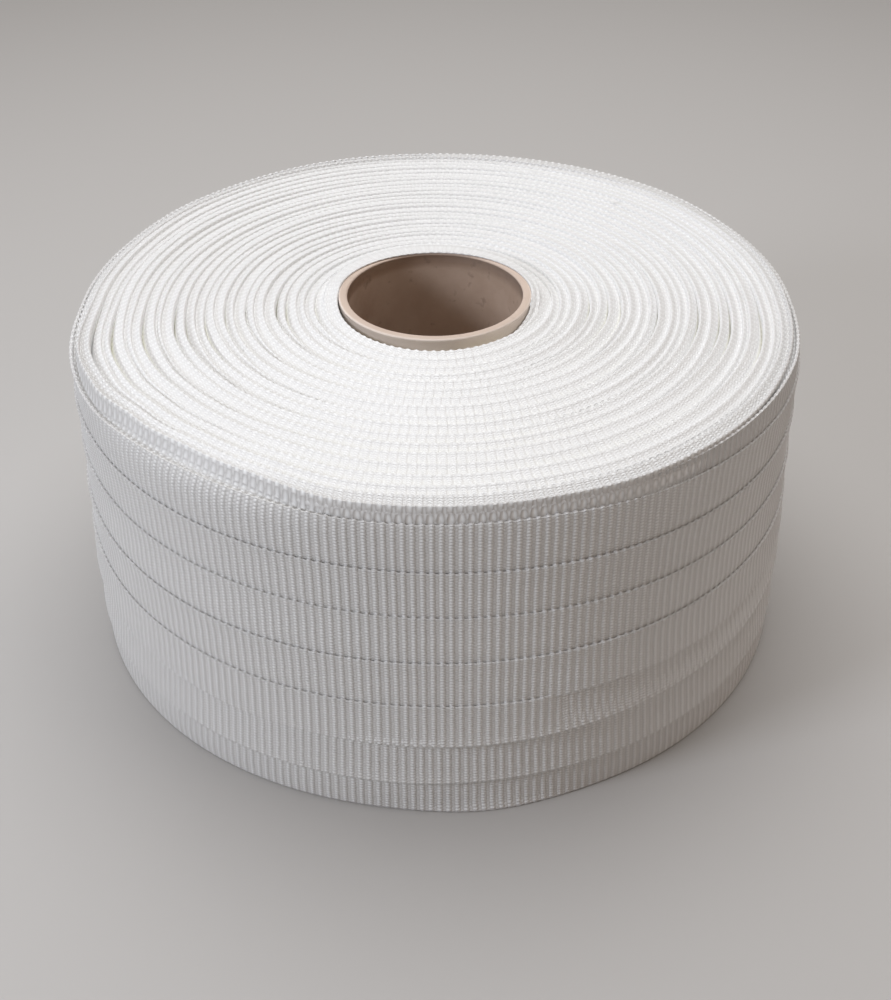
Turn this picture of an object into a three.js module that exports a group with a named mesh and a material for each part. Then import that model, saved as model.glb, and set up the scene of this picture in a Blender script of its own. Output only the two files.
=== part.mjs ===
// A full roll of flat woven cotton webbing, wound in steps up and down a cardboard core.
// Millimetres, +Z up. The origin is the middle of the roll's foot, and the front of the roll,
// where the webbing's cut end is tucked under the turn above it, faces -Y.
import * as THREE from 'three';

// The cardboard core, a common 3 inch by 6 inch tube.
const CORE_BORE_R = 38.1;
const CORE_WALL = 3.8;
const CORE_LENGTH = 152.4;
const CORE_BEVEL = 0.6;
const CORE_SIDES = 60;
const CORE_R = CORE_BORE_R + CORE_WALL;

// The wound webbing. The roll's side is a little fuller low down, and rounds in to the rim.
const WEBBING_T = 1.6;
const CORE_GAP = 0.3;
const INNER_R = CORE_R + CORE_GAP;
const BODY = [
  { at: 0, r: 159.4 },
  { at: 16, r: 159.6 },
  { at: 45, r: 159.4 },
  { at: 75, r: 158.6 },
  { at: 105, r: 157.6 },
  { at: 153, r: 157.4 },
];
const SHOULDER_FROM = 134;
const SHOULDER_ROWS = [147, 142, 137];

// The rim by the angle, in degrees to the right of the front: the radius of the topmost turn's edge.
const RIM = [
  { at: -180, r: 156.6 },
  { at: -160, r: 157.6 },
  { at: -132, r: 155.4 },
  { at: -110, r: 152.8 },
  { at: -90, r: 152.8 },
  { at: -72, r: 157.2 },
  { at: -62, r: 156.2 },
  { at: -50, r: 151.6 },
  { at: -38, r: 148.6 },
  { at: -28, r: 148.8 },
  { at: -12, r: 154 },
  { at: 14, r: 154.6 },
  { at: 30, r: 156.4 },
  { at: 66, r: 156.8 },
  { at: 90, r: 153.6 },
  { at: 112, r: 153.8 },
  { at: 136, r: 156.4 },
  { at: 180, r: 156.6 },
];
const RIM_Z = 150.6;
const RIM_TILT = 1.4;

// The ends of the roll: one spiral of end turns in each, standing up as ridges.
const SPIRAL_IN = 5;
const TOP_AT_CORE = 148.6;
const TOP_AT_RIM = 150.2;
const TOP_TILT = 2;
const TOP_TURNS = 26;
const TOP_CREST = 0.9;
const TOP_VALLEY = 1.4;
const CREST_SHARE = 0.3;
const TOP_WANDER = 0.7;
const FOOT_LANDS = 9;
const FOOT_GROOVE = 2.4;
const FOOT_LAND_SHARE = 0.72;
const FOOT_R = 158.4;
const FOOT_ROUND = 1.8;
const FOOT_BAND_IN = 1;
const END_FADE = 2.5;

// The steps between the bands on the side, from the topmost turn's upper edge down. Heights and
// slopes are given at the back seam on the left, at the front, and at the seam on the right. A
// slope is the change in height for one turn to the right. proud is +1 where the lower band lies
// over the upper one, as where the webbing was wound on downwards, and -1 where the upper lies over.
const FALL = -21.3;
const STEPS = [
  { left: 152, leftSlope: 0, front: 143.8, frontSlope: -30, right: 133.4, rightSlope: FALL, proud: 1 },
  { left: 133.4, leftSlope: FALL, front: 121.0, frontSlope: -24, right: 110.6, rightSlope: FALL, proud: 1 },
  { left: 110.6, leftSlope: FALL, front: 99.5, frontSlope: -24, right: 89.6, rightSlope: FALL, proud: 1 },
  { left: 89.6, leftSlope: FALL, front: 78.3, frontSlope: -13, right: 69.2, rightSlope: FALL, proud: 1 },
  { left: 69.2, leftSlope: FALL, front: 56.9, frontSlope: -13, right: 48.4, rightSlope: FALL, proud: 1, tucked: true },
  { left: 48.4, leftSlope: FALL, front: 36.6, frontSlope: 0, right: 48.4, rightSlope: 0, proud: -1 },
  { left: 17.4, leftSlope: 0, front: 16.0, frontSlope: 0, right: 17.4, rightSlope: 0, proud: -0.5 },
];
const STEP_HALF = 0.7;

// The cut end goes under the turn above it here, in degrees right of the front.
const TUCK_AT = 18;
const TUCK_SPAN = 8;

// The topmost turn lies close to the turn inside it, but for a narrow gap on the right.
const RIM_GAP = { depth: 6, at: 70, spread: 13 };
const RIM_GROOVE = 1.2;
const RIM_GROOVE_IN = 2.9;

// The turn before it comes out from behind it over this part of a turn from the back seam.
const OPENING_RATE = 4;

const ANGLE_STEPS = 54;
const SEAM = 180;

const smooth = (x) => {
  const t = Math.min(1, Math.max(0, x));
  return t * t * (3 - 2 * t);
};
const bump = ({ depth, at, spread }, a) => depth * Math.exp(-(((a - at) / spread) ** 2));
const radians = (degrees) => (degrees * Math.PI) / 180;

// Value of a table of radii at a place, eased from one row to the next.
function eased(table, at) {
  const next = Math.max(1, table.findIndex((row) => row.at >= at));
  const [from, to] = [table[next - 1], table[next]];
  return from.r + (to.r - from.r) * smooth((at - from.at) / (to.at - from.at));
}
const rimZ = (a) => RIM_Z - RIM_TILT * Math.cos(radians(a));

// Radius of the roll's side, without the steps between its bands.
function sideRadius(z, a) {
  const share = Math.max(0, (z - SHOULDER_FROM) / (rimZ(a) - SHOULDER_FROM));
  return eased(BODY, z) + (eased(RIM, a) - eased(BODY, z)) * share ** 2;
}

// Height of a step at angle a: one cubic from the seam on that side to the front.
function stepHeight(step, a) {
  const sign = a < 0 ? -1 : 1;
  const seamZ = a < 0 ? step.left : step.right;
  const seamRate = (sign * (a < 0 ? step.leftSlope : step.rightSlope)) / 2;
  const frontRate = (sign * step.frontSlope) / 2;
  const t = Math.abs(a) / SEAM;
  const t2 = t * t;
  const t3 = t2 * t;
  return (2 * t3 - 3 * t2 + 1) * step.front + (t3 - 2 * t2 + t) * frontRate
    + (3 * t2 - 2 * t3) * seamZ + (t3 - t2) * seamRate;
}

// Which band stands proud at a step: it changes over where the cut end goes under.
function proudSide(step, a) {
  return step.tucked ? step.proud * (1 - 2 * smooth((a - TUCK_AT) / TUCK_SPAN + 0.5)) : step.proud;
}

// The slow wander of the end turns' height, different from turn to turn.
const wander = (turn, a) => Math.sin(radians(a) + 2.4 * turn) * 0.6 + Math.sin(2 * radians(a) - 1.7 * turn) * 0.4;

// Height of the roll's upper end, without its ridges: nearly flat, a little higher at the back rim.
function topHeight(r, a) {
  const share = (r - INNER_R) / (eased(RIM, a) - INNER_R);
  return TOP_AT_CORE + share * (TOP_AT_RIM - TOP_AT_CORE - TOP_TILT * Math.cos(radians(a)));
}

// Radius of a point of an end spiral: it grows by one turn's share with each turn to the right.
function spiralRadius(turn, turns, outer, a) {
  const along = (turn - 1 + (a + SEAM) / (2 * SEAM)) / turns;
  return Math.min(outer, Math.max(INNER_R, INNER_R + along * (outer - INNER_R)));
}
const endFade = (r, outer) => smooth((r - INNER_R) / END_FADE) * smooth((outer - r) / END_FADE);

// Upper end, from the core out to the rim: each end turn leans inwards, so it has a steep inner
// side, a crest and a long outer side.
function topPoints(a) {
  const points = [];
  const outer = eased(RIM, a) - SPIRAL_IN;
  for (let turn = 0; turn <= TOP_TURNS; turn += 1) {
    const unrolled = turn + (a + SEAM) / (2 * SEAM);
    const valleyR = spiralRadius(turn, TOP_TURNS, outer, a);
    const crestR = spiralRadius(turn + CREST_SHARE, TOP_TURNS, outer, a);
    const valleyZ = topHeight(valleyR, a) - TOP_VALLEY * endFade(valleyR, outer);
    const crestRise = TOP_CREST + TOP_WANDER * wander(unrolled, a);
    const crestZ = topHeight(crestR, a) + crestRise * endFade(crestR, outer);
    points.push([valleyR, valleyZ], [crestR, crestZ]);
  }
  points.push([outer, topHeight(outer, a)]);
  return points;
}

// Side, from the rim down: the groove behind the topmost turn, that turn's two edges and the seven
// bands, each a shingle whose proud edge is one webbing thickness out.
function sidePoints(a) {
  const top = rimZ(a);
  const grown = (a + SEAM) / (2 * SEAM);
  const opened = smooth(grown * OPENING_RATE);
  const behind = WEBBING_T * (1 - grown);
  const rows = [[behind + WEBBING_T * opened, top], [behind, top]];
  STEPS.forEach((step, index) => {
    const z = stepHeight(step, a);
    const proud = proudSide(step, a);
    const half = index === 0 ? STEP_HALF * opened : STEP_HALF;
    const [aboveIn, aboveZ] = rows.at(-1);
    const upperZ = Math.min(z + half, aboveZ);
    const room = half > 0 ? Math.max(0, upperZ - (z - half)) / (2 * half) : 1;
    const lowerIn = (WEBBING_T * (1 - proud)) / 2;
    const upperIn = lowerIn + WEBBING_T * proud * room;
    if (index < 2) {
      SHOULDER_ROWS.forEach((rowZ) => {
        const here = Math.min(aboveZ, Math.max(upperZ, rowZ));
        const down = aboveZ > upperZ ? (aboveZ - here) / (aboveZ - upperZ) : 1;
        rows.push([aboveIn + (upperIn - aboveIn) * down, here]);
      });
    }
    rows.push([upperIn, upperZ], [lowerIn, z - half]);
  });
  rows.push([FOOT_BAND_IN, FOOT_ROUND]);
  const groove = [eased(RIM, a) - RIM_GROOVE_IN, top - RIM_GROOVE - bump(RIM_GAP, a)];
  return [groove, ...rows.map(([inward, z]) => [sideRadius(z, a) - inward, z]), [FOOT_R, 0]];
}

// Foot, from the rim back in to the core: flat lands on the floor with a groove between turns.
function footPoints(a) {
  const points = [];
  for (let land = FOOT_LANDS; land >= -1; land -= 1) {
    const outer = spiralRadius(land + 1 + FOOT_LAND_SHARE / 2, FOOT_LANDS, FOOT_R, a);
    const inner = spiralRadius(land + 1 - FOOT_LAND_SHARE / 2, FOOT_LANDS, FOOT_R, a);
    const groove = spiralRadius(land + 0.5, FOOT_LANDS, FOOT_R, a);
    points.push([outer, 0], [inner, 0], [groove, FOOT_GROOVE * endFade(groove, FOOT_R)]);
  }
  return points;
}

// One closed solid from a closed section that changes with the angle. Points that meet are one
// corner, so rows may run together and the two ends of the winding meet at the seam.
function loftAround(sectionAt, steps) {
  const corners = new Map();
  const positions = [];
  const indices = [];
  const corner = ([r, z], a) => {
    const place = [r * Math.sin(radians(a)), -r * Math.cos(radians(a)), z];
    const name = place.map((v) => Math.round(v * 500) + 0).join(' ');
    if (!corners.has(name)) {
      corners.set(name, positions.length / 3);
      positions.push(...place);
    }
    return corners.get(name);
  };
  const addTriangle = (i, j, k) => {
    if (i !== j && j !== k && k !== i) {
      indices.push(i, j, k);
    }
  };
  let before = null;
  for (let step = 0; step <= steps; step += 1) {
    const a = -SEAM + (2 * SEAM * step) / steps;
    const ring = sectionAt(a).map((point) => corner(point, a));
    if (before) {
      ring.forEach((here, n) => {
        const next = (n + 1) % ring.length;
        addTriangle(before[n], ring[next], here);
        addTriangle(before[n], before[next], ring[next]);
      });
    }
    before = ring;
  }
  const geometry = new THREE.BufferGeometry();
  geometry.setAttribute('position', new THREE.Float32BufferAttribute(positions, 3));
  geometry.setIndex(indices);
  geometry.computeVertexNormals();
  return geometry;
}

function woundWebbing() {
  const geometry = loftAround((a) => [...topPoints(a), ...sidePoints(a), ...footPoints(a)], ANGLE_STEPS);
  const material = new THREE.MeshStandardMaterial({ color: 0xeeedea, roughness: 0.62, metalness: 0 });
  const mesh = new THREE.Mesh(geometry, material);
  mesh.name = 'webbing_roll';
  return mesh;
}

// The core: a plain wound-paper tube with its cut edges just broken.
function cardboardCore() {
  const inner = CORE_BORE_R;
  const outer = CORE_R;
  const profile = [
    [inner + CORE_BEVEL, 0],
    [outer - CORE_BEVEL, 0],
    [outer, CORE_BEVEL],
    [outer, CORE_LENGTH - CORE_BEVEL],
    [outer - CORE_BEVEL, CORE_LENGTH],
    [inner + CORE_BEVEL, CORE_LENGTH],
    [inner, CORE_LENGTH - CORE_BEVEL],
    [inner, CORE_BEVEL],
    [inner + CORE_BEVEL, 0],
  ].map(([r, y]) => new THREE.Vector2(r, y));
  const geometry = new THREE.LatheGeometry(profile, CORE_SIDES);
  geometry.rotateX(Math.PI / 2);
  const material = new THREE.MeshStandardMaterial({ color: 0xb39a86, roughness: 0.85, metalness: 0 });
  const mesh = new THREE.Mesh(geometry, material);
  mesh.name = 'cardboard_core';
  return mesh;
}

const roll = new THREE.Group();
roll.name = 'roll_of_webbing';
roll.add(woundWebbing(), cardboardCore());

export default roll;
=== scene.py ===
"""A full roll of flat white woven webbing on its cardboard core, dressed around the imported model.

Lengths are in millimetres until a mesh is made. Angles are in degrees to the right of the front (-Y),
as seen from in front, and one turn of the strap runs from the back (-180) round the front to the back.
"""
import math

import bpy
import numpy as np
from mathutils import Matrix, Vector


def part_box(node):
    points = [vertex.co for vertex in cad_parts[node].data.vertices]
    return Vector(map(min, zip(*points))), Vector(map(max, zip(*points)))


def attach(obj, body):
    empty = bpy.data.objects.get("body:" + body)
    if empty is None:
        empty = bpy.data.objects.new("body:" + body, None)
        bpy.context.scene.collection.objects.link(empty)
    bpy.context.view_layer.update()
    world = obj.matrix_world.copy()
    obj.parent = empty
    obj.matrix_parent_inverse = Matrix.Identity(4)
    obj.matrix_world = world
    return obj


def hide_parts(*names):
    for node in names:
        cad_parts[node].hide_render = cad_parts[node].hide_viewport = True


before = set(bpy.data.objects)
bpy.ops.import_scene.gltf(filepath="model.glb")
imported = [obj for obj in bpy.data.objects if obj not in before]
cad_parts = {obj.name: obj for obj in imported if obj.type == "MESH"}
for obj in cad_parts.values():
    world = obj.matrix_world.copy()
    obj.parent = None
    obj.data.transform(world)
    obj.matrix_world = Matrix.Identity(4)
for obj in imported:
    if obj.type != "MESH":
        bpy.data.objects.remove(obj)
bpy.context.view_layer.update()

MM = 0.001
ROOT = "root"

# Cardboard core: a short tube wound from strips of grey-brown board, its ends cut square and a
# little crushed round the edge. The webbing is wound straight on to it, with nothing else to hold it.
core_high = np.array(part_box("cardboard_core")[1]) / MM
CORE_R = core_high[0]
CORE_WALL = 3.8
CORE_BORE_R = CORE_R - CORE_WALL
CORE_TOP = core_high[2]
CORE_STEPS = 144
CORE_ROWS = 24
CORE_ROUND = 0.9
CORE_WOBBLE = 0.072
CORE_SEAM_RISE = 95
CORE_SEAM_STEP = 0.12
CORE_SEAM_EDGE = 8
CUT_END_FROM = 4.5
CUT_END_TO = 0.3
OUTER_WALL_FROM = 0.9
OUTER_WALL_TO = 0.1
BOARD_RELIEF = 0.4


def polar(angle, radius, height):
    """Points x = radius times the angle's sine, y = minus radius times its cosine, z = height."""
    turned = np.radians(angle)
    return np.stack(np.broadcast_arrays(radius * np.sin(turned), -radius * np.cos(turned), height), axis=-1)


def smooth(x):
    """Rises from 0 to 1 between x = 0 and 1 as three x squared less two x cubed."""
    x = np.clip(x, 0, 1)
    return x * x * (3 - 2 * x)


def bump(angle, at, spread):
    """A bell of height 1 at one angle: e to the power of minus the square of (angle - at) / spread."""
    return np.exp(-(((angle - at) / spread) ** 2))


def mesh_of_rings(name, points, joined, weave=None):
    """A closed mesh through rings of points, each ring closed on itself. points has one row for each ring.
    The last ring joins the first, or each end gets a flat cap. weave gives each point's place in ribs
    along the strap and yarns across it, for the map named weave."""
    rings, around = points.shape[:2]
    place = np.arange(rings * around).reshape(rings, around)
    start = place if joined else place[:-1]
    end = np.roll(place, -1, axis=0) if joined else place[1:]
    quads = np.stack([start, np.roll(start, -1, 1), np.roll(end, -1, 1), end], axis=-1).reshape(-1, 4)
    corners = quads.ravel()
    totals = np.full(len(quads), 4)
    if not joined:
        corners = np.concatenate([corners, place[0][::-1], place[-1]])
        totals = np.concatenate([totals, [around, around]])
    mesh = bpy.data.meshes.new(name)
    mesh.vertices.add(rings * around)
    mesh.vertices.foreach_set("co", (points * MM).astype(np.float32).ravel())
    mesh.loops.add(len(corners))
    mesh.loops.foreach_set("vertex_index", corners.astype(np.int32))
    mesh.polygons.add(len(totals))
    mesh.polygons.foreach_set("loop_start", (np.cumsum(totals) - totals).astype(np.int32))
    mesh.polygons.foreach_set("use_smooth", np.ones(len(totals), bool))
    mesh.update(calc_edges=True)
    mesh.validate()
    if weave is not None:
        layer = mesh.uv_layers.new(name="weave")
        layer.uv.foreach_set("vector", weave.reshape(-1, 2)[corners].astype(np.float32).ravel())
    piece = bpy.data.objects.new(name, mesh)
    bpy.context.scene.collection.objects.link(piece)
    return piece


def new_material(name, colour, roughness):
    """A material with a Principled shader: returns it with its node tree and the shader node."""
    material = bpy.data.materials.new(name)
    material.use_nodes = True
    shader = material.node_tree.nodes["Principled BSDF"]
    shader.inputs["Base Color"].default_value = (*colour, 1)
    shader.inputs["Roughness"].default_value = roughness
    return material, material.node_tree, shader


def node(tree, kind, inputs=None, **settings):
    """A new node of one kind, with its settings, and its inputs joined to sockets or set to values."""
    made = tree.nodes.new(kind)
    for key, value in settings.items():
        setattr(made, key, value)
    for key, value in (inputs or {}).items():
        if isinstance(value, bpy.types.NodeSocket):
            tree.links.new(value, made.inputs[key])
        else:
            made.inputs[key].default_value = value
    return made


def maths(tree, operation, *values):
    """The output of a Math node working on the given sockets or numbers."""
    return node(tree, "ShaderNodeMath", dict(enumerate(values)), operation=operation).outputs[0]


def vector_maths(tree, operation, first, second):
    """The vector from a Vector Math node working on two sockets or vectors."""
    return node(tree, "ShaderNodeVectorMath", {0: first, 1: second}, operation=operation).outputs[0]


def axis_distance(tree, where):
    """The distance of a place from the roll's axis: the length of its level part."""
    level = vector_maths(tree, "MULTIPLY", where, (1, 1, 0))
    return node(tree, "ShaderNodeVectorMath", {0: level}, operation="LENGTH").outputs["Value"]


def ranged(tree, value, low, high, start=0.0, end=1.0):
    """A value carried from the range low to high over to the range start to end, and held within it."""
    inputs = {"Value": value, "From Min": low, "From Max": high, "To Min": start, "To Max": end}
    return node(tree, "ShaderNodeMapRange", inputs).outputs[0]


def noise(tree, place, scale, detail, roughness=0.5):
    """The value of a noise: its size goes by scale, and its finer layers by detail and roughness."""
    inputs = {"Vector": place, "Scale": scale, "Detail": detail, "Roughness": roughness}
    return node(tree, "ShaderNodeTexNoise", inputs).outputs["Fac"]


def ramp(tree, factor, stops):
    """The colour output of a ramp through (position, colour) stops."""
    made = node(tree, "ShaderNodeValToRGB", {"Fac": factor})
    for _ in range(len(stops) - 2):
        made.color_ramp.elements.new(0.5)
    for element, (position, colour) in zip(made.color_ramp.elements, stops):
        element.position = position
        element.color = (*colour, 1)
    return made.outputs["Color"]


def mix(tree, factor, first, second):
    """The mix of two colours, first where the factor is 0 and second where it is 1."""
    made = node(tree, "ShaderNodeMix", data_type="RGBA")
    for key, value in (("Factor", factor), ("A", first), ("B", second)):
        wanted = "VALUE" if key == "Factor" else "RGBA"
        socket = next(s for s in made.inputs if s.name == key and s.type == wanted)
        if isinstance(value, bpy.types.NodeSocket):
            tree.links.new(value, socket)
        else:
            socket.default_value = value if key == "Factor" else (*value, 1)
    return next(s for s in made.outputs if s.type == "RGBA")


def core_section(turn):
    """The wall's outline: up the outside, over the top edge, down the bore and back under. Each edge is
    a quarter round. The bore swells in and out by a slow wave round the tube, and steps at the seam of
    the wound strip, which rises evenly round it."""
    quarter = np.radians([0, 30, 60, 90])
    around = np.radians(turn)
    swell = CORE_WOBBLE * (np.sin(2 * around + 0.6) + 0.5 * np.sin(5 * around))[:, None]
    low, high = CORE_ROUND, CORE_TOP - CORE_ROUND
    heights = low + (high - low) * np.linspace(0, 1, CORE_ROWS)
    edge_out = CORE_R - CORE_ROUND + CORE_ROUND * np.cos(quarter)
    edge_in = CORE_BORE_R + CORE_ROUND - CORE_ROUND * np.cos(quarter)
    edge_rise = CORE_ROUND * np.sin(quarter)
    seam = (heights[None, ::-1] / CORE_SEAM_RISE - turn[:, None] / 360) % 1
    bore = CORE_BORE_R + CORE_SEAM_STEP * (1 - 2 * np.abs(smooth(seam * CORE_SEAM_EDGE) - 0.5)) + swell
    count = len(turn)
    outer_wall = np.full((count, CORE_ROWS), CORE_R)
    outer_edge = np.tile(edge_out, (count, 1))
    inner_edge = np.tile(edge_in, (count, 1)) + swell
    radius = np.concatenate([
        outer_wall, outer_edge, inner_edge[:, ::-1], bore, inner_edge, outer_edge[:, ::-1]], axis=1)
    height = np.concatenate([
        heights, high + edge_rise, high + edge_rise[::-1],
        heights[::-1], low - edge_rise, low - edge_rise[::-1]])
    return radius, np.tile(height, (count, 1))


core_turn = np.linspace(-180, 180, CORE_STEPS, endpoint=False)
core_radius, core_height = core_section(core_turn)
core_tube = mesh_of_rings("core_tube", polar(core_turn[:, None], core_radius, core_height), joined=True)

board, tree, shader = new_material("grey_board", (0.5, 0.37, 0.28), 0.86)
shader.inputs["Specular IOR Level"].default_value = 0.25
where = node(tree, "ShaderNodeTexCoord").outputs["Object"]
cloud = noise(tree, where, scale=38, detail=6, roughness=0.6)
fibre_place = node(tree, "ShaderNodeMapping", {"Vector": where, "Scale": (1, 1, 5)}).outputs["Vector"]
fibre = noise(tree, fibre_place, scale=420, detail=4, roughness=0.7)
fleck = ranged(tree, noise(tree, where, scale=150, detail=3, roughness=0.55), 0.62, 0.74)
paper = ramp(tree, cloud, [(0.25, (0.40, 0.275, 0.2)), (0.5, (0.50, 0.37, 0.285)), (0.8, (0.6, 0.47, 0.375))])
speckled = mix(tree, maths(tree, "MULTIPLY", fleck, 0.55), paper, (0.16, 0.10, 0.07))
height = node(tree, "ShaderNodeSeparateXYZ", {"Vector": where}).outputs["Z"]
cut_end = ranged(tree, height, (CORE_TOP - CUT_END_FROM) * MM, (CORE_TOP - CUT_END_TO) * MM)
paler = mix(tree, maths(tree, "MULTIPLY", cut_end, 0.45), speckled, (0.8, 0.68, 0.6))
from_axis = axis_distance(tree, where)
outside = ranged(tree, from_axis, (CORE_R - OUTER_WALL_FROM) * MM, (CORE_R - OUTER_WALL_TO) * MM)
tinted = mix(tree, outside, paler, (0.9, 0.79, 0.71))
fibrous = mix(tree, maths(tree, "MULTIPLY", fibre, 0.25), tinted, (0.62, 0.52, 0.44))
tree.links.new(fibrous, shader.inputs["Base Color"])
grain = maths(tree, "ADD", maths(tree, "MULTIPLY", fibre, 0.6), cloud)
relief = node(tree, "ShaderNodeBump", {"Height": grain, "Strength": 0.35, "Distance": BOARD_RELIEF * MM})
tree.links.new(relief.outputs["Normal"], shader.inputs["Normal"])
core_tube.data.materials.append(board)
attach(core_tube, ROOT)
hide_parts("cardboard_core")

# Backing: the earlier turns of webbing, deep in the roll, which show only as the pale bottom of the
# gaps between the end turns. They are one plain ring of the same cloth, under the body of the roll.
STRAP_T = 1.6
STRAP_WIDTH = 22.2
RIBS_A_TURN = 281
YARN = 1.3
INNER_R = CORE_R + 0.3
BACKING_IN = 3.8
BACKING_LOW = 9
BACKING_MIDDLE = 75
BACKING_TOP = 141.5
BACKING_MIDWAY_R = 98
BACKING_CORE_GAP = 0.2
BACKING_STEPS = 180

# The roll's side: a little fuller low down, and rounded in to a rim that is not quite round.
BODY_HEIGHTS = [0, 16, 45, 75, 105, 153]
BODY_RADII = [159.4, 159.6, 159.4, 158.6, 157.6, 157.4]
SHOULDER_FROM = 134
PAST_THE_RIM = 1.3
RIM_ANGLES = [-180, -160, -132, -110, -90, -72, -62, -50, -38, -28, -12, 14, 30, 66, 90, 112, 136, 180]
RIM_RADII = [156.6, 157.6, 155.4, 152.8, 152.8, 157.2, 156.2, 151.6, 148.6, 148.8, 154.0, 154.6, 156.4, 156.8,
             153.6, 153.8, 156.4, 156.6]
RIM_Z = 150.6
RIM_TILT = 1.4
RIB = 2 * math.pi * BODY_RADII[2] / RIBS_A_TURN

# The weave's cords, in shares of their pitch, and how far it strays in ribs and yarns.
CORD_REACH = 0.5
GROOVE_CORD_REACH = 0.36
CORD_CROWN = 0.7
WEAVE_SWAY = (0.16, 0.6, 0)


def eased(at, places, values):
    """A value between the given ones, moving from each to the next by three t squared less two t cubed."""
    at = np.asarray(at, float)
    places, values = np.array(places, float), np.array(values, float)
    after = np.clip(np.searchsorted(places, at), 1, len(places) - 1)
    share = (at - places[after - 1]) / (places[after] - places[after - 1])
    return values[after - 1] + (values[after] - values[after - 1]) * smooth(share)


def rim_height(angle):
    """Height of the topmost turn's edge, a little higher at the back."""
    return RIM_Z - RIM_TILT * np.cos(np.radians(angle))


def side_radius(height, angle):
    """Radius of the roll's side: the body's by height, moved towards the rim's by angle over the shoulder,
    by the square of the share of the way up it."""
    share = np.clip((height - SHOULDER_FROM) / (rim_height(angle) - SHOULDER_FROM), 0, PAST_THE_RIM)
    body = eased(height, BODY_HEIGHTS, BODY_RADII)
    return body + (eased(angle, RIM_ANGLES, RIM_RADII) - body) * share ** 2


def weave_group():
    """The webbing's close weave, from the map named weave, which counts ribs along the strap and yarns
    across it. On each rib every yarn floats over as a short round cord, and in the groove between two ribs
    the yarns beside them show, lower and shorter. A cord's height is one less a share of the square of the
    place across it, times half of one plus the cosine of the place along it. Height is the higher of the two
    cords with a fine grain of filaments along them, and Tone is that height without the grain."""
    group = bpy.data.node_groups.new("woven_floats", "ShaderNodeTree")
    for label in ("Height", "Tone"):
        group.interface.new_socket(label, in_out="OUTPUT", socket_type="NodeSocketFloat")
    for label, start in (("Groove Cords", 0.5), ("Filaments", 0.12)):
        group.interface.new_socket(label, in_out="INPUT", socket_type="NodeSocketFloat").default_value = start
    given = node(group, "NodeGroupInput").outputs
    place = node(group, "ShaderNodeUVMap", uv_map="weave").outputs["UV"]
    sway = node(group, "ShaderNodeTexNoise", {"Vector": place, "Scale": 0.35, "Detail": 2}).outputs["Color"]
    centred = vector_maths(group, "SUBTRACT", sway, (0.5, 0.5, 0.5))
    swayed = vector_maths(group, "MULTIPLY", centred, WEAVE_SWAY)
    moved = vector_maths(group, "ADD", place, swayed)
    counts = node(group, "ShaderNodeSeparateXYZ", {"Vector": moved}).outputs

    def cord(shift, reach):
        """One set of cords, moved along both ways by a share of their pitch."""
        offsets = []
        for axis in ("X", "Y"):
            part = maths(group, "FRACT", maths(group, "ADD", counts[axis], 0.5 + shift))
            offsets.append(maths(group, "SUBTRACT", part, 0.5))
        along = maths(group, "ABSOLUTE", maths(group, "DIVIDE", offsets[0], reach))
        along = maths(group, "MINIMUM", along, 1.0)
        across = maths(group, "ABSOLUTE", maths(group, "MULTIPLY", offsets[1], 2.0))
        across = maths(group, "POWER", across, 2.0)
        wave = maths(group, "COSINE", maths(group, "MULTIPLY", along, math.pi))
        length_share = maths(group, "MULTIPLY", maths(group, "ADD", wave, 1.0), 0.5)
        width_share = maths(group, "SUBTRACT", 1.0, maths(group, "MULTIPLY", across, CORD_CROWN))
        return maths(group, "MULTIPLY", length_share, width_share)

    rib_cord = cord(0.0, CORD_REACH)
    groove_cord = maths(group, "MULTIPLY", cord(0.5, GROOVE_CORD_REACH), given["Groove Cords"])
    tone = maths(group, "MAXIMUM", rib_cord, groove_cord)
    stretched = node(group, "ShaderNodeMapping", {"Vector": place, "Scale": (0.8, 9, 1)}).outputs["Vector"]
    thread = noise(group, stretched, scale=2.2, detail=3)
    height = maths(group, "ADD", tone, maths(group, "MULTIPLY", thread, given["Filaments"]))
    node(group, "NodeGroupOutput", {"Height": height, "Tone": tone})
    return group


woven_floats = weave_group()

# One cloth for the whole roll. Low in the slits between the end turns, a yellow tint is painted in for light
# that comes through the layers. The gaps between its cords are painted darker as shade, more so towards the
# side, where the cords' bump also goes deeper.
SLIT_LOW = 144.5
SLIT_HIGH = 148.4
SLIT_INSIDE = 146
SIDE_SHARE_FROM = 145
SIDE_SHARE_TO = 152
END_GAP_SHADE = 0.5
SIDE_GAP_SHADE = 1.0
END_DEPTH = 0.25
SIDE_DEPTH = 0.46

webbing, tree, shader = new_material("white_webbing", (0.94, 0.94, 0.935), 0.42)
shader.inputs["Specular IOR Level"].default_value = 0.65
shader.inputs["Sheen Weight"].default_value = 0.1
shader.inputs["Sheen Roughness"].default_value = 0.4
weave = node(tree, "ShaderNodeGroup", node_tree=woven_floats).outputs
where = node(tree, "ShaderNodeTexCoord").outputs["Object"]
from_axis = axis_distance(tree, where)
side_share = ranged(tree, from_axis, SIDE_SHARE_FROM * MM, SIDE_SHARE_TO * MM)
gap_shade_share = ranged(tree, side_share, 0.0, 1.0, END_GAP_SHADE, SIDE_GAP_SHADE)
depth = ranged(tree, side_share, 0.0, 1.0, END_DEPTH / SIDE_DEPTH)
patch = noise(tree, where, scale=14, detail=3)
cloth = mix(tree, patch, (0.93, 0.93, 0.925), (0.965, 0.967, 0.97))
height = node(tree, "ShaderNodeSeparateXYZ", {"Vector": where}).outputs["Z"]
# Painted light: low in the slits between the end turns the cloth is painted a yellow tint, for light that
# comes through the layers.
sunk = ranged(tree, height, SLIT_HIGH * MM, SLIT_LOW * MM)
within = maths(tree, "LESS_THAN", from_axis, SLIT_INSIDE * MM)
cloth = mix(tree, maths(tree, "MULTIPLY", sunk, within), cloth, (1.0, 0.99, 0.86))
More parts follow.
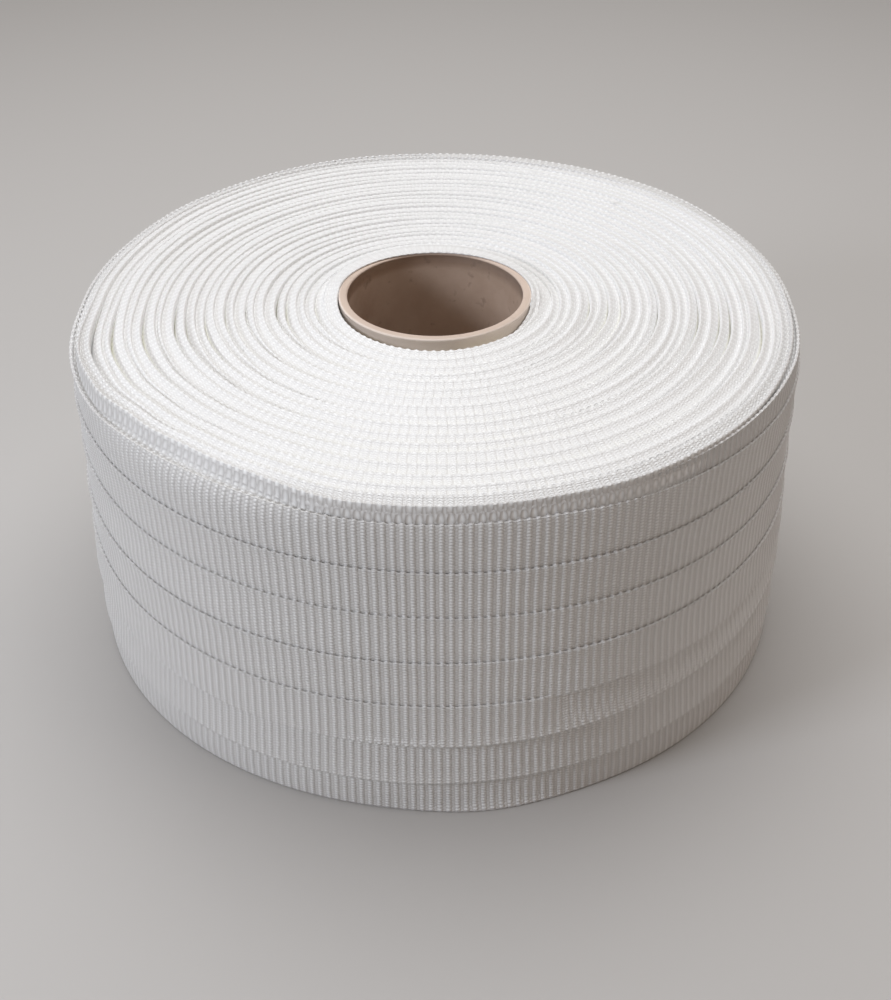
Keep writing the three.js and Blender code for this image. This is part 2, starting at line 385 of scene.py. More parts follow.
# Painted shade: where the weave's Tone is low, between the cords, the cloth is painted darker, more so
# towards the side.
gap = mix(tree, gap_shade_share, cloth, (0.6, 0.585, 0.57))
shaded = mix(tree, weave["Tone"], gap, cloth)
tree.links.new(shaded, shader.inputs["Base Color"])
gloss = ranged(tree, weave["Tone"], 0.0, 1.0, 0.65, 0.33)
tree.links.new(gloss, shader.inputs["Roughness"])
cord_height = maths(tree, "MULTIPLY", weave["Height"], depth)
relief = node(tree, "ShaderNodeBump", {"Height": cord_height, "Strength": 1.0, "Distance": SIDE_DEPTH * MM})
tree.links.new(relief.outputs["Normal"], shader.inputs["Normal"])


def finish_webbing(piece):
    """What every piece of the wound webbing shares: its cloth, its place on the roll and its solid."""
    piece.data.materials.append(webbing)
    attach(piece, ROOT)
    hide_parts("webbing_roll")


backing_turn = np.linspace(-180, 180, BACKING_STEPS, endpoint=False)[:, None]
backing_z = np.array([BACKING_LOW, BACKING_LOW, BACKING_MIDDLE, BACKING_TOP, BACKING_TOP, BACKING_TOP])[None]
backing_r = side_radius(backing_z, backing_turn) - BACKING_IN
backing_r[:, [0, 5]] = INNER_R + BACKING_CORE_GAP
backing_r[:, 4] = BACKING_MIDWAY_R
backing_ribs = (backing_turn + 180) / 360 * RIBS_A_TURN
backing_weave = np.stack(np.broadcast_arrays(backing_ribs, backing_z / YARN), axis=-1)
inner_turns = mesh_of_rings("inner_turns", polar(backing_turn, backing_r, backing_z), joined=True,
                            weave=backing_weave)
finish_webbing(inner_turns)

# Outermost turns: the strap's last trip, wound down the outside in bands that lap over the one above,
# until its cut end goes in under the turn above it, and below them the trip before, wound upwards.
# Only the winding's pull holds them.
FALL = -21.3

# Each row of EDGES is a lap line: its height and its slope in millimetres a turn at the left back, at the
# front and at the right back. The last two rows are the lower edge of the last trip, and that of the first
# step of the trip before.
EDGE_PARTS = ("left", "left_slope", "front", "front_slope", "right", "right_slope")
EDGES = [dict(zip(EDGE_PARTS, row)) for row in (
    (133.4, FALL, 121.0, -24, 110.6, FALL),
    (110.6, FALL, 99.5, -24, 89.6, FALL),
    (89.6, FALL, 78.3, -13, 69.2, FALL),
    (69.2, FALL, 56.9, -13, 48.4, FALL),
    (48.4, FALL, 36.6, 0, 48.4, 0),
    (17.4, 0, 16.0, 0, 17.4, 0),
)]
TOP_EDGE_ANGLES = [-180, -100, -84, -75, -66, -57, -48, -34, -22, -4, 16, 26, 45, 60, 100, 180]
TOP_EDGE_HEIGHTS = [152.0, 152.0, 149.2, 145.2, 142.8, 143.0, 144.0, 144.0, 143.2, 142.1, 142.1, 140.9,
                    138.9, 137.4, 135.6, 133.4]

# A change is its start and its span, in degrees or in turns. A pucker is an edge's outward curl in one
# place: its height, its angle and its spread.
ARRIVES_AT = 4
ARRIVING_STEP = 2.2
ARRIVING_SLOPE = 0.17
ARRIVED_Z = 147.8
ARRIVED = (34, 40)
GROWN = (-10, 60)
TUCK_AT = 18
TUCK_SPAN = 9
TUCKED_LOWER_IN = 0.1
TUCKED_FLARE = 0.6
TUCKED_PUCKER = (0.8, 6, 14)
OVER_TUCK_PUCKER = (0.7, 36, 14)
SHOULDER_ROLL = (0.45, -42, 28)
LAST_TRIP_FROM = 0.38
LAST_TRIP_SPLIT = 3.1
LAST_TRIP_TO = 5.99
LAST_SINKS = (5.8, 0.15)
SINK_LIFT = 4
TRIP_BEFORE_TO = 4.3
FOOT_COMES_OUT = (0.86, 0.2)
FOOT_EASES = (1.4, 0.5)
FIRST_STEP = (1.86, 0.28)
SECOND_STEP = (2.86, 0.28)
FOOT_SINKS = (4.0, 0.15)
SECOND_RISE = 21.5
FLOOR_CLEAR = 0.05
FOOT_UPPER_IN = 1.9
FOOT_LOWER_IN = 1.0
FOOT_MOVES_OUT = 0.6
FOOT_PUCKER = (2.2, 7, 11)
STEP_FLARE = 0.5
STEP_PUCKER = (0.7, -2, 12)
FOOT_RIB_START = 0.4
RIB_HEIGHT = 0.45
SIDE_STEPS = 4
LAP_STEP = 1.4
FACE = np.array([0.035, 0.09, 0.18, 0.32, 0.5, 0.68, 0.84, 0.93, 0.97])
REAR = np.array([0.94, 0.5, 0.06])
EDGE_ANGLES = [[35, 90, 145]]
EDGE_YARNS = np.array([0.3, 0.6, 0.9])
EDGE_SWELL = 0.55
SWELL_RISE = 8
EDGE_BEAD = 0.05
EDGE_WANDER = 0.35
EDGE_SCALLOP = 0.26
LOW_WANDER = 0.15
LOW_SCALLOP = 0.15
HIDDEN_LAP = 2.5
LIP_CURL = 0.12
LIP_VARIES = 0.7
LIP_REACH = 0.16
FLARE_REACH = 0.24
BELLY = 0.4
BELLY_AT = 0.72
BELLY_SPREAD = 0.2
WANDER_SINES = 5
WANDER_RATES = (0.3, 3.4)
WANDER_SIZE = 2.2


def rise(x, start, span):
    """Rises smoothly from 0 at the start to 1 over the span."""
    return smooth((x - start) / span)


def pucker(angle, height, at, spread):
    """An edge's outward curl in one place: a bell of the given height."""
    return height * bump(angle, at, spread)


def edge_height(edge, angle):
    """Height of a band's edge: on each side one cubic from the back to the front, by its heights and its
    slopes in millimetres a turn."""
    left = angle < 0
    sign = np.where(left, -1, 1)
    seam = np.where(left, edge["left"], edge["right"])
    seam_rate = sign * np.where(left, edge["left_slope"], edge["right_slope"]) / 2
    front_rate = sign * edge["front_slope"] / 2
    t = np.abs(angle) / 180
    return ((2 * t ** 3 - 3 * t ** 2 + 1) * edge["front"] + (t ** 3 - 2 * t ** 2 + t) * front_rate
            + (3 * t ** 2 - 2 * t ** 3) * seam + (t ** 3 - t ** 2) * seam_rate)


def top_edge(angle):
    """Height of the uppermost full band's upper edge, which leaves the rim on the left."""
    return np.minimum(np.interp(angle, TOP_EDGE_ANGLES, TOP_EDGE_HEIGHTS), rim_height(angle))


def arriving_height(angle):
    """Height of the topmost turn's upper edge right of the front, where it comes up from behind the turn
    below it and rises to the rim."""
    rising = top_edge(angle) + ARRIVING_STEP + ARRIVING_SLOPE * (angle - ARRIVES_AT)
    level = ARRIVED_Z + (rim_height(angle) - ARRIVED_Z) * rise(angle, *ARRIVED)
    return np.minimum(level, rising)


def wander(unrolled, seed):
    """A slow unevenness along the strap: a sum of a few sines of the unrolled turns, -1 to 1 or so."""
    rng = np.random.default_rng(seed)
    rates = rng.uniform(*WANDER_RATES, WANDER_SINES)
    starts = rng.uniform(0, 2 * math.pi, WANDER_SINES)
    waves = np.sin(2 * math.pi * rates[:, None] * unrolled.ravel()[None] + starts[:, None])
    return (waves.sum(0) / WANDER_SIZE).reshape(unrolled.shape)


def flat_strap(name, unrolled, upper_z, lower_z, upper_in, lower_in, phase, flare, curl):
    """A strap lying on the side of the roll: a closed section with an outer face between two round edges,
    swelled by a cosine of the rib count, and a plain inner face one thickness in. Its face follows the
    roll's side, less the given depths at its edges, and bulges a little below its middle. Its upper edge
    curls out by curl and its lower edge by flare, each by a share that falls away smoothly from the edge."""
    angle = (360 * (unrolled % 1) - 180)[:, None]
    rib = np.cos(2 * math.pi * phase)[:, None]
    half = STRAP_T / 2

    def face_at(share):
        """Radius, height and outward slope of the plain face at shares of the way down it."""
        height = upper_z[:, None] + (lower_z - upper_z)[:, None] * share
        inward = upper_in[:, None] + (lower_in - upper_in)[:, None] * share
        inward = inward - curl[:, None] * (1 - smooth(share / LIP_REACH))
        inward = inward - flare[:, None] * (1 - smooth((1 - share) / FLARE_REACH))
        inward = inward - BELLY * bump(share, BELLY_AT, BELLY_SPREAD)
        slope = side_radius(height + 0.5, angle) - side_radius(height - 0.5, angle)
        return side_radius(height, angle) - inward, height, np.arctan(-slope)

    shares = FACE[None]
    face_r, face_z, lean = face_at(shares)
    edge_share = smooth(np.minimum(shares, 1 - shares) * SWELL_RISE)
    swell = RIB_HEIGHT * (rib - 1) / 2 * (EDGE_SWELL + (1 - EDGE_SWELL) * edge_share)
    face_r = face_r + swell * np.cos(lean)
    face_z = face_z + swell * np.sin(lean)

    def edge_round(share, turns, way):
        """The round edge at one end of the face, for angles from the face's normal over the edge."""
        radius, height, lean = face_at(np.array([[share]]))
        size = half - EDGE_BEAD * (1 - rib)
        middle_r = radius - half * np.cos(lean) + way * half * np.sin(lean)
        middle_z = height - half * np.sin(lean) - way * half * np.cos(lean)
        out, along = np.cos(turns), np.sin(turns)
        return (middle_r + size * (out * np.cos(lean) - way * along * np.sin(lean)),
                middle_z + size * (out * np.sin(lean) + way * along * np.cos(lean)))

    over = np.radians(EDGE_ANGLES)
    low_r, low_z = edge_round(1.0, over, -1)
    high_r, high_z = edge_round(0.0, over[:, ::-1], 1)
    rear_r, rear_z, lean = face_at(REAR[None])
    rear_r = rear_r - STRAP_T * np.cos(lean)
    rear_z = rear_z - STRAP_T * np.sin(lean)
    section_r = np.concatenate([face_r, low_r, rear_r, high_r], axis=1)
    section_z = np.concatenate([face_z, low_z, rear_z, high_z], axis=1)
    span = STRAP_WIDTH / YARN
    across = np.concatenate([FACE * span, span + EDGE_YARNS, REAR * span, -EDGE_YARNS[::-1]])
    weave_at = np.stack(np.broadcast_arrays(phase[:, None], across[None]), axis=-1)
    piece = mesh_of_rings(name, polar(angle, section_r, section_z), joined=False, weave=weave_at)
    finish_webbing(piece)


def last_trip(first, last):
    """The outermost strap between two unrolled turns, as its edges' heights and depths. Turn 0 comes out
    at the rim right of the front. At the tuck the lower edge of turn 4 comes out over turn 5, whose cut
    end goes in under it, and the other end of turn 5 is sunk under the turns above it at the back."""
    count = int((last - first) * RIBS_A_TURN * SIDE_STEPS)
    unrolled = np.linspace(first, last, count)
    angle = 360 * (unrolled % 1) - 180
    turn = np.floor(unrolled).astype(int)
    fourth = turn == 4
    fifth = turn == 5
    tuck = smooth((angle - TUCK_AT) / TUCK_SPAN + 0.5)
    covered = np.where(fourth, 1 - tuck, 1.0)
    ending = rise(unrolled, *LAST_SINKS)
    heights = np.stack([edge_height(edge, angle) for edge in EDGES])
    own = np.vstack([arriving_height(angle)[None], top_edge(angle)[None], heights])
    upper_z = np.take_along_axis(own, turn[None], 0)[0]
    below = np.take_along_axis(own, turn[None] + 1, 0)[0]
    lower_z = np.where(fifth, heights[4], below - HIDDEN_LAP * covered) + SINK_LIFT * ending
    whole_width = np.maximum(upper_z, heights[4] + STRAP_WIDTH)
    upper_z = np.where(fifth & (tuck > 0), whole_width * tuck + upper_z * (1 - tuck), upper_z)
    grown = np.where(turn == 0, rise(angle, *GROWN), 1.0)
    upper_in = np.where(fifth, 2 * STRAP_T * tuck, STRAP_T * (1 - grown))
    lower_in = np.where(fifth, TUCKED_LOWER_IN, LAP_STEP * covered) + 2 * STRAP_T * ending
    flare = np.where(fifth, TUCKED_FLARE + pucker(angle, *TUCKED_PUCKER), 0.0)
    flare = flare + np.where(fourth, tuck * pucker(angle, *OVER_TUCK_PUCKER), 0.0)
    phase = unrolled * RIBS_A_TURN
    scallop = np.cos(2 * math.pi * phase)
    upper_z = upper_z + EDGE_WANDER * wander(unrolled, 11) + EDGE_SCALLOP * scallop
    lower_z = lower_z - np.where(fifth, LOW_SCALLOP, 0.0) * scallop
    curl = LIP_CURL * (1 + LIP_VARIES * wander(unrolled, 17)) - (turn == 1) * pucker(angle, *SHOULDER_ROLL)
    return unrolled, upper_z, lower_z, upper_in, lower_in, phase, flare, curl


flat_strap("outer_strap_upper", *last_trip(LAST_TRIP_FROM, LAST_TRIP_SPLIT))
flat_strap("outer_strap_lower", *last_trip(LAST_TRIP_SPLIT, LAST_TRIP_TO))


def trip_before(first, last):
    """The strap wound upwards under the last trip. It comes out from under itself, lies level on the floor
    for a turn, and steps up at the back twice. Each step laps over the turn below it, and the end is sunk
    under the last trip."""
    count = int((last - first) * RIBS_A_TURN * SIDE_STEPS)
    unrolled = np.linspace(first, last, count)
    angle = 360 * (unrolled % 1) - 180
    climb = rise(unrolled, *FIRST_STEP)
    second = rise(unrolled, *SECOND_STEP)
    ending = rise(unrolled, *FOOT_SINKS)
    sunk = 1 - rise(unrolled, *FOOT_COMES_OUT)
    lower_z = climb * edge_height(EDGES[5], angle) + second * SECOND_RISE
    lower_z = lower_z + LOW_WANDER * wander(unrolled, 13) * climb + FLOOR_CLEAR
    upper_z = lower_z + STRAP_WIDTH
    lower_in = FOOT_LOWER_IN - FOOT_MOVES_OUT * rise(unrolled, *FOOT_EASES)
    lower_in = lower_in + (2 * STRAP_T - lower_in) * sunk + STRAP_T * ending
    upper_in = FOOT_UPPER_IN + (2 * STRAP_T - FOOT_UPPER_IN) * sunk + STRAP_T * ending
    level_flare = pucker(angle, *FOOT_PUCKER) * (1 - climb)
    step_flare = climb * (STEP_FLARE + pucker(angle, *STEP_PUCKER))
    flare = (1 - sunk) * (level_flare + step_flare)
    phase = unrolled * RIBS_A_TURN + FOOT_RIB_START
    lower_z = lower_z - LOW_SCALLOP * climb * np.cos(2 * math.pi * phase)
    return unrolled, upper_z, lower_z, upper_in, lower_in, phase, flare, np.full(count, LIP_CURL)


flat_strap("foot_strap", *trip_before(0.0, TRIP_BEFORE_TO))

# End turns: at each end of its travel the strap turns back, and its edge stands in the end of the roll.
# There is one such turn for each trip down and up, 26 in all, in one spiral from the core to the rim.
# They lean inwards as shingles, some go in under the next at the front, and at the sides some part.
END_TURNS = 26
SPIRAL_FROM = -0.46
SPIRAL_TO = 25.98
TOP_PIECES = 3
ROUGH_STEPS = 720
RIB_STEPS = 3
TOP_AT_CORE = 148.6
TOP_AT_RIM = 150.2
TOP_TILT = 2.0
TOP_CREST = 0.9
CREST_ROUND = 0.75
CREST_REACH = 0.9
CREST_ANGLES = [[-75, -25, 20, 58]]
CREST_YARNS = [[-4.0, -2.0, -0.8, -0.5, -0.2, 0.1]]
FACE_YARN = 0.4
UNDER_YARN = 2.0
CREST_BEAD = 0.06
CREST_WAVE = 0.05
FRONT_WAVE = 0.2
RIB_ROUND = 0.42
RIB_RISE = 6
SIDE_RIB_SHARE = 0.25
LAST_TURN_SWELL = 0.18

# Where the crests run: even but for a slow wander at the sides and back, and by FRONT_RADII at the front.
FIRST_CREST = 0.75
LAST_CREST_R = 155.0
START_HELD = 0.3
START_TURNS = 1.5
EVEN_RIM_R = 156.6
FRONT_RIM_R = 154.3
CREST_WANDER = 0.45
STEADY_TURNS = 2
STEADY_SPREAD = 40
FRONT_SPREAD = 58
FRONT_RADII = [46.6, 52.4, 57.6, 58.6, 64.8, 69.2, 70.2, 76.3, 81.4, 82.4, 89.0, 94.6, 95.6, 102.0, 107.4,
               108.4, 114.8, 120.3, 121.3, 128.6, 134.7, 135.7, 142.7, 147.6, 148.6, 154.4]
HIDDEN_TURNS = [2, 5, 8, 11, 14, 17, 20, 23]
HIDDEN_DROP = 3.0
HIDDEN_SPREAD = 44

# The section of a turn: how far its face falls, and how deep its inner side and its slits go.
DOWN_THE_FACE = np.array([0.08, 0.26, 0.42, 0.56, 0.78, 1.0, 1.2])
PITCH_LIMITS = (1.5, 9)
FACE_START = 0.35
FACE_BEND = 2.4
LAST_BEND = 4.0
FRONT_DROP = 1.35
BACK_DROP = 0.7
BACK_SPREAD = 100
SIDE_DROP = 0.35
SIDE_BELL = (80, 30)
RIB_SPREAD = 48
CREST_UNEVEN = 0.4
FRONT_UNEVEN = 0.4
UNEVEN_SPREAD = 50
NOTCH = 0.4
NOTCH_BELL = (0.42, 0.09)
PARTED_DEPTH = 3.6
PARTED_MOST = 1.2
PARTED_FROM = (0.5, 0.3)
LAST_CLOSED = 0.8
BEYOND_DEPTH = 3.0
INNER_SIDE = 2.2
INNER_LEAN = 0.15
UNDER_REACH = 0.1
DEEP = 9.0

# At the core the first turn comes up over the tube's edge, and at the rim the last one goes in under the
# upper edge of the outermost strap, with a gap where that strap comes out.
OVER_CORE = 4.6
OVER_CORE_BELL = (0, 0.17)
CORE_CLEAR = 0.1
CORE_LAP = 0.15
START_RISE = 9
START_BELL = (0, 0.24)
START_TURN = 0.6
START_TOP = 153.3
START_SINK = 4
START_SINKS = (0.22, 0.2)
END_SINK = 5
END_SINKS = (25.78, 0.2)
WALL_BELOW = 1.6
WALL_HIGHER = 1.2
WALL_RISES = (75, 20)
WALL_IN = 1.4
WALL_LEAST = 0.8
ARRIVAL_GAP = 1.1
GAP_OPENS = (2, 12)
GAP_CLOSES = (45, 25)

# The slits, or eyes, where two turns stand apart: their angle, the turn they come after, how wide they
# are in millimetres, and how far they spread in degrees.
EYE_PUSH = 0.4
EYE_PARTS = ("at", "after", "wide", "spread")
EYES = [dict(zip(EYE_PARTS, row)) for row in (
    (-74, 23, 1.3, 12),
    (-74, 21, 1.3, 11),
    (-72, 18, 1.8, 12),
    (-77, 15, 1.2, 12),
    (-71, 14, 1.5, 10),
    (-71, 12, 1.4, 11),
    (-77, 10, 0.8, 10),
    (-80, 8, 0.8, 10),
    (-81, 5, 1.2, 13),
    (-78, 4, 1.0, 12),
    (-76, 1, 0.6, 12),
    (76, 4, 1.1, 12),
    (74, 6, 1.2, 12),
    (76, 7, 0.6, 12),
    (72, 11, 1.2, 12),
    (75, 15, 1.1, 12),
    (73, 17, 1.1, 11),
    (74, 18, 1.2, 12),
    (75, 21, 0.9, 14),
    (69, 25, 3.0, 11),
)]


def end_radius(unrolled, angle):
    """Radius of the spiral's crest: even at the sides and back, and by the front's radii at the front, with
    a bell between them. The rim's shape moves the outer turns by the fourth power of the share of the way
    out, and the crests part beside each eye."""
    held = START_HELD * (1 - smooth(unrolled / START_TURNS))
    share = np.clip((unrolled - held) / END_TURNS, 0, 1)
    first = INNER_R + FIRST_CREST
    rim = eased(angle, RIM_ANGLES, RIM_RADII)
    even = first + (LAST_CREST_R - first) * share + (rim - EVEN_RIM_R) * share ** 4
    turn = np.floor(unrolled).astype(int).clip(0, END_TURNS - 1)
    front = np.array(FRONT_RADII)[turn] + (rim - FRONT_RIM_R) * share ** 4
    front = np.where(unrolled < 0, first, front)
    blend = bump(angle, 0, FRONT_SPREAD)
    radius = even * (1 - blend) + front * blend
    unsteady = CREST_WANDER * wander(unrolled, 3) * (1 - bump(angle, 0, STEADY_SPREAD))
    radius = radius + unsteady * smooth(unrolled / STEADY_TURNS)
    for eye in EYES:
        beyond = turn - eye["after"] - 0.5
        push = np.sign(beyond) * np.exp(0.5 - np.abs(beyond)) * eye["wide"] * EYE_PUSH
        radius = radius + push * bump(angle, eye["at"], eye["spread"])
    return radius - OVER_CORE * bump(unrolled, *OVER_CORE_BELL)


def end_height(radius, angle):
    """Height of the roll's end without its ridges: nearly flat, and a little higher at the back rim."""
    share = (radius - INNER_R) / (eased(angle, RIM_ANGLES, RIM_RADII) - INNER_R)
    return TOP_AT_CORE + share * (TOP_AT_RIM - TOP_AT_CORE - TOP_TILT * np.cos(np.radians(angle)))


def rib_path(first, last, steps):
    """Unrolled turns along the whole spiral, at even steps of the rib count, and that count: arc length
    over the rib's pitch."""
    rough = np.linspace(first, last, int((last - first) * ROUGH_STEPS) + 1)
    radius = end_radius(rough, 360 * (rough % 1) - 180)
    arc = np.radians(360 * np.diff(rough)) * (radius[1:] + radius[:-1]) / 2
    ribs = np.concatenate([[0], np.cumsum(arc)]) / RIB
    phase = np.arange(int(ribs[-1] * steps)) / steps
    return np.interp(phase, ribs, rough), phase


def end_turns(name, unrolled, phase):
    """One stretch of the upper end spiral, as a shingle: a round crest, an inner side that goes straight
    down from it, and an outer face that falls away to the foot of the next turn's inner side. Depth below
    the crest is the start plus (drop less start) times one less (1 - s) to the power bend, for a share s of
    the way to the next crest. A notch runs along the face at the sides, and beside an eye the face's end
    goes down deep. The face of the last turn ends under the outermost strap's upper edge."""
    angle = 360 * (unrolled % 1) - 180
    turn = np.floor(unrolled).astype(int).clip(0, END_TURNS - 1)
    last_turn = turn == END_TURNS - 1
    rib = np.cos(2 * math.pi * phase)
    side = bump(np.abs(angle), *SIDE_BELL)
    back = 1 - bump(angle, 0, BACK_SPREAD)
    front = bump(angle, 0, RIB_SPREAD)
    radius = end_radius(unrolled, angle)
    pitch = np.clip(end_radius(unrolled + 1, angle) - radius, *PITCH_LIMITS)
    drop = FRONT_DROP * (1 - back) + BACK_DROP * back + SIDE_DROP * side

    low = np.isin(turn, HIDDEN_TURNS) * HIDDEN_DROP * bump(angle, 0, HIDDEN_SPREAD)
    low = low + END_SINK * rise(unrolled, *END_SINKS) + START_SINK * rise(-unrolled, *START_SINKS)
    uneven_share = FRONT_UNEVEN + (1 - FRONT_UNEVEN) * (1 - bump(angle, 0, UNEVEN_SPREAD))
    crest = end_height(radius, angle) + TOP_CREST + CREST_UNEVEN * wander(unrolled, 7) * uneven_share
    crest = crest - low + START_RISE * bump(unrolled, *START_BELL)
    crest = np.where(unrolled < START_TURN, np.minimum(crest, START_TOP), crest)

    cover = np.where(angle > ARRIVES_AT, arriving_height(np.maximum(angle, ARRIVES_AT)), top_edge(angle))
    wall_z = cover - WALL_BELOW + WALL_HIGHER * rise(np.abs(angle), *WALL_RISES)
    gap = ARRIVAL_GAP * rise(angle, *GAP_OPENS) * (1 - rise(angle, *GAP_CLOSES))
    wall_r = side_radius(wall_z, angle) - WALL_IN - gap
    pitch = np.where(last_turn, np.maximum(wall_r - radius, WALL_LEAST), pitch)
    drop = np.where(last_turn, np.maximum(crest - wall_z, WALL_LEAST), drop)
    crest = crest + (CREST_WAVE + FRONT_WAVE * front) * rib

    parted = np.zeros(len(angle))
    for eye in EYES:
        beside = (turn == eye["after"]) * bump(angle, eye["at"], eye["spread"])
        parted = parted + beside * min(PARTED_MOST, eye["wide"])
    parted = np.clip(parted * (1 - LAST_CLOSED * last_turn), 0, PARTED_MOST)[:, None]
    share = DOWN_THE_FACE[None]
    bend = np.where(last_turn, LAST_BEND, FACE_BEND)[:, None]
    fallen = 1 - np.clip(1 - share, 0, 1) ** bend
    notched = (side * (0.5 + 0.5 * wander(unrolled, 19)))[:, None]
    depth = FACE_START + (drop[:, None] - FACE_START) * fallen + NOTCH * notched * bump(share, *NOTCH_BELL)
    depth = depth + PARTED_DEPTH * parted * rise(share, *PARTED_FROM) + BEYOND_DEPTH * (share > 1)

    reach = CREST_ROUND * CREST_REACH
    outwards = np.where(last_turn[:, None], np.minimum(share, 1), share)
    from_crest = smooth(share * RIB_RISE)
    last_swell = (LAST_TURN_SWELL * last_turn * (rib - 1))[:, None]
    rib_swell = (RIB_ROUND * (SIDE_RIB_SHARE + (1 - SIDE_RIB_SHARE) * front) * (rib - 1))[:, None] / 2
    face_r = (radius + reach)[:, None] + (pitch - reach)[:, None] * outwards + last_swell * from_crest
    face_z = crest[:, None] - depth + rib_swell * from_crest
    over = np.radians(CREST_ANGLES)
    size = CREST_ROUND - CREST_BEAD * (1 - rib)[:, None]
    crest_r = radius[:, None] + size * np.sin(over)
    crest_z = crest[:, None] - CREST_ROUND + size * np.cos(over)
    inner_r = np.stack([radius - CREST_ROUND + INNER_LEAN, radius - CREST_ROUND], axis=1)
    inner_z = np.stack([crest - DEEP, crest - INNER_SIDE], axis=1)
    under_r = face_r[:, -1:] + UNDER_REACH
    under_z = crest[:, None] - DEEP - BEYOND_DEPTH
    section_r = np.concatenate([inner_r, crest_r, face_r, under_r], axis=1)
    section_z = np.concatenate([inner_z, crest_z, face_z, under_z], axis=1)
    over_core = section_r[:, 2:] < CORE_R + CORE_CLEAR
    held_up = np.maximum(section_z[:, 2:], CORE_TOP + CORE_LAP)
    section_z[:, 2:] = np.where(over_core, held_up, section_z[:, 2:])
    section_r[:, :2] = np.maximum(section_r[:, :2], CORE_R + CORE_CLEAR)

    face_yarns = pitch[:, None] * share / YARN
    crest_yarns = np.tile(CREST_YARNS, (len(phase), 1))
    across = np.concatenate([crest_yarns, FACE_YARN + face_yarns, UNDER_YARN + face_yarns[:, -1:]], axis=1)
    weave_at = np.stack(np.broadcast_arrays(phase[:, None], across), axis=-1)
    points = polar(angle[:, None], section_r[:, ::-1], section_z[:, ::-1])
    piece = mesh_of_rings(name, points, joined=False, weave=weave_at[:, ::-1])
    finish_webbing(piece)


spiral, spiral_ribs = rib_path(SPIRAL_FROM, SPIRAL_TO, RIB_STEPS)
cuts = np.linspace(0, len(spiral) - 1, TOP_PIECES + 1).astype(int)
for index, (first, last) in enumerate(zip(cuts, cuts[1:])):
    end_turns(f"top_turns_{index + 1}", spiral[first:last + 1], spiral_ribs[first:last + 1])

# Foot: the same end turns at the bottom, which the roll's own weight presses flat on the floor, with
# narrow grooves between them.
FOOT_PITCH = 4.2
FOOT_INNER = INNER_R + 1.2
FOOT_INNER_LEAST = INNER_R - 0.1
FOOT_OUTER = 155.2
FOOT_WANDER = 0.25
FOOT_STEPS = 300
FOOT_FROM = 0.05
FOOT_TO = 25.9
FOOT_SECTION = np.array([(-0.52, 6.0), (-0.5, 1.5), (-0.36, 0.35), (-0.2, 0.02), (0.2, 0.02), (0.36, 0.35),
                         (0.5, 1.5), (0.52, 6.0)])


def foot_turns(name, first, last):
    """One stretch of the lower end spiral: its radius grows evenly by one pitch a turn, and its section is
    a flat land with rounded edges, in shares of the pitch across and millimetres up."""
    count = int((last - first) * FOOT_STEPS)
    unrolled = np.linspace(first, last, count)
    angle = 360 * (unrolled % 1) - 180
    radius = FOOT_INNER + (FOOT_OUTER - FOOT_INNER) * unrolled / END_TURNS
    section_r = radius[:, None] + FOOT_SECTION[None, :, 0] * FOOT_PITCH
    section_r = section_r + FOOT_WANDER * wander(unrolled, 23)[:, None]
    section_r = np.maximum(section_r, FOOT_INNER_LEAST)
    section_z = np.broadcast_to(FOOT_SECTION[None, :, 1], section_r.shape)
    phase = np.cumsum(radius) * 2 * math.pi / FOOT_STEPS / RIB
    across = FOOT_SECTION[:, 0] * FOOT_PITCH / YARN
    weave_at = np.stack(np.broadcast_arrays(phase[:, None], across[None]), axis=-1)
    points = polar(angle[:, None], section_r[:, ::-1], section_z[:, ::-1])
    piece = mesh_of_rings(name, points, joined=False, weave=weave_at[:, ::-1])
    finish_webbing(piece)


foot_turns("foot_turns", FOOT_FROM, FOOT_TO)

# Floor, light and camera: a plain pale floor, soft light from overhead, a cooler light from the left, a
# weak warm one from the right, and the camera where the photo was taken from.
FLOOR_REACH = 6.0
LIGHTS_AIM = 0.08
PHOTO_H = 1000
FOCAL_PX = 1488
SENSOR = 36.0
CAMERA_ELEVATION = 35.3
CAMERA_DISTANCE = 0.7094
CAMERA_AIM = 0.042
CAMERA_ROLL = -0.51
AXIS_SHIFT_PX = -8.7

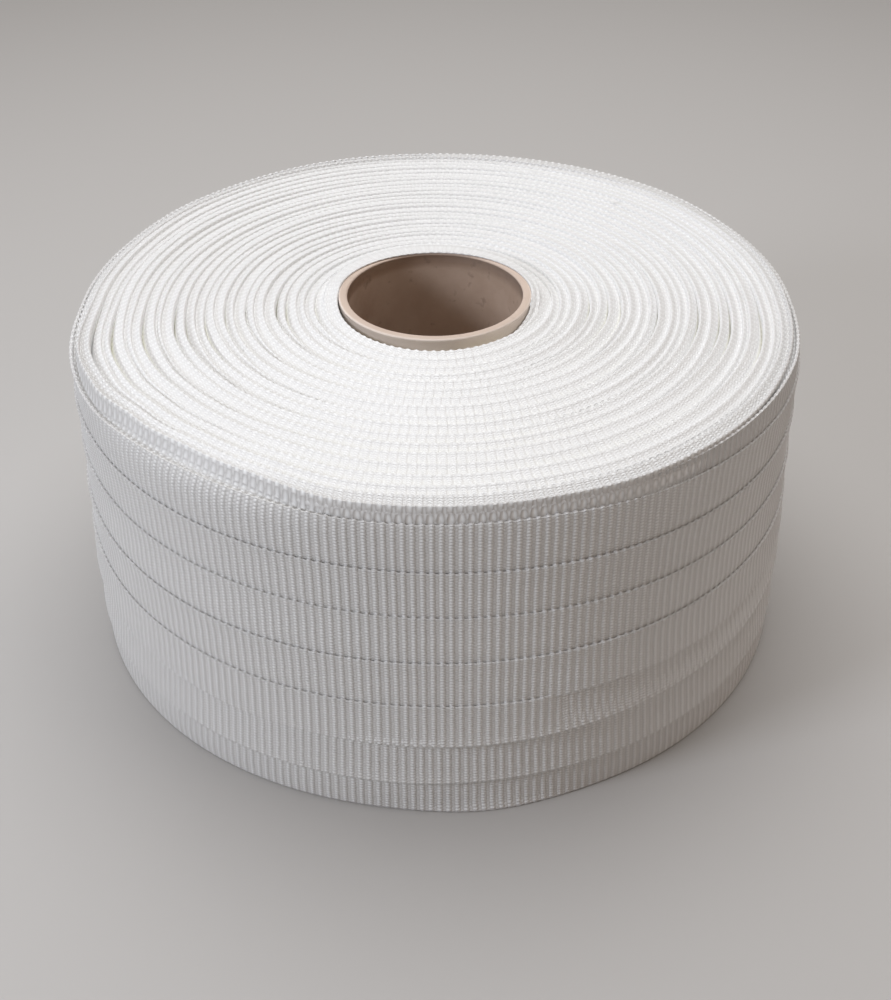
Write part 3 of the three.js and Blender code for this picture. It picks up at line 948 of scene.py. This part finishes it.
floor_mesh = bpy.data.meshes.new("floor")
floor_corners = [(x * FLOOR_REACH, y * FLOOR_REACH, 0) for x, y in ((-1, -1), (1, -1), (1, 1), (-1, 1))]
floor_mesh.from_pydata(floor_corners, [], [(0, 1, 2, 3)])
floor = bpy.data.objects.new("floor", floor_mesh)
bpy.context.scene.collection.objects.link(floor)
pale, tree, shader = new_material("pale_floor", (0.53, 0.515, 0.5), 0.8)
floor_mesh.materials.append(pale)

world = bpy.data.worlds.new("studio")
bpy.context.scene.world = world
world.use_nodes = True
world.node_tree.nodes["Background"].inputs["Color"].default_value = (1.0, 0.89, 0.8, 1)
world.node_tree.nodes["Background"].inputs["Strength"].default_value = 0.2


def area_light(name, place, size, power, colour):
    """A square area light that shines from its place at the roll's middle."""
    lamp = bpy.data.lights.new(name, "AREA")
    lamp.shape = "SQUARE"
    lamp.size = size
    lamp.energy = power
    lamp.color = colour
    holder = bpy.data.objects.new(name, lamp)
    holder.location = place
    aim = Vector((0, 0, LIGHTS_AIM)) - Vector(place)
    holder.rotation_euler = aim.to_track_quat("-Z", "Y").to_euler()
    bpy.context.scene.collection.objects.link(holder)


area_light("window", (0.02, 0.3, 1.35), 1.3, 15.9, (0.98, 0.988, 1.0))
area_light("left_glow", (-1.2, -0.7, 0.7), 0.4, 9.0, (0.86, 0.91, 1.0))
area_light("right_glow", (1.5, -0.5, 0.4), 1.0, 1.5, (1.0, 0.66, 0.45))

elevation = math.radians(CAMERA_ELEVATION)
back = Vector((0, -math.cos(elevation), math.sin(elevation)))
right = Vector((1, 0, 0))
up = back.cross(right)
roll_angle = math.radians(CAMERA_ROLL)
rolled_right = right * math.cos(roll_angle) + up * math.sin(roll_angle)
rolled_up = up * math.cos(roll_angle) - right * math.sin(roll_angle)
lens = bpy.data.cameras.new("camera")
lens.sensor_fit = "VERTICAL"
lens.sensor_height = SENSOR
lens.lens = FOCAL_PX / PHOTO_H * SENSOR
lens.shift_x = -AXIS_SHIFT_PX / PHOTO_H
camera = bpy.data.objects.new("camera", lens)
turned = Matrix((rolled_right, rolled_up, back)).transposed().to_4x4()
camera.matrix_world = Matrix.Translation(Vector((0, 0, CAMERA_AIM)) + back * CAMERA_DISTANCE) @ turned
bpy.context.scene.collection.objects.link(camera)
bpy.context.scene.camera = camera
bpy.context.scene.view_settings.view_transform = "Standard"
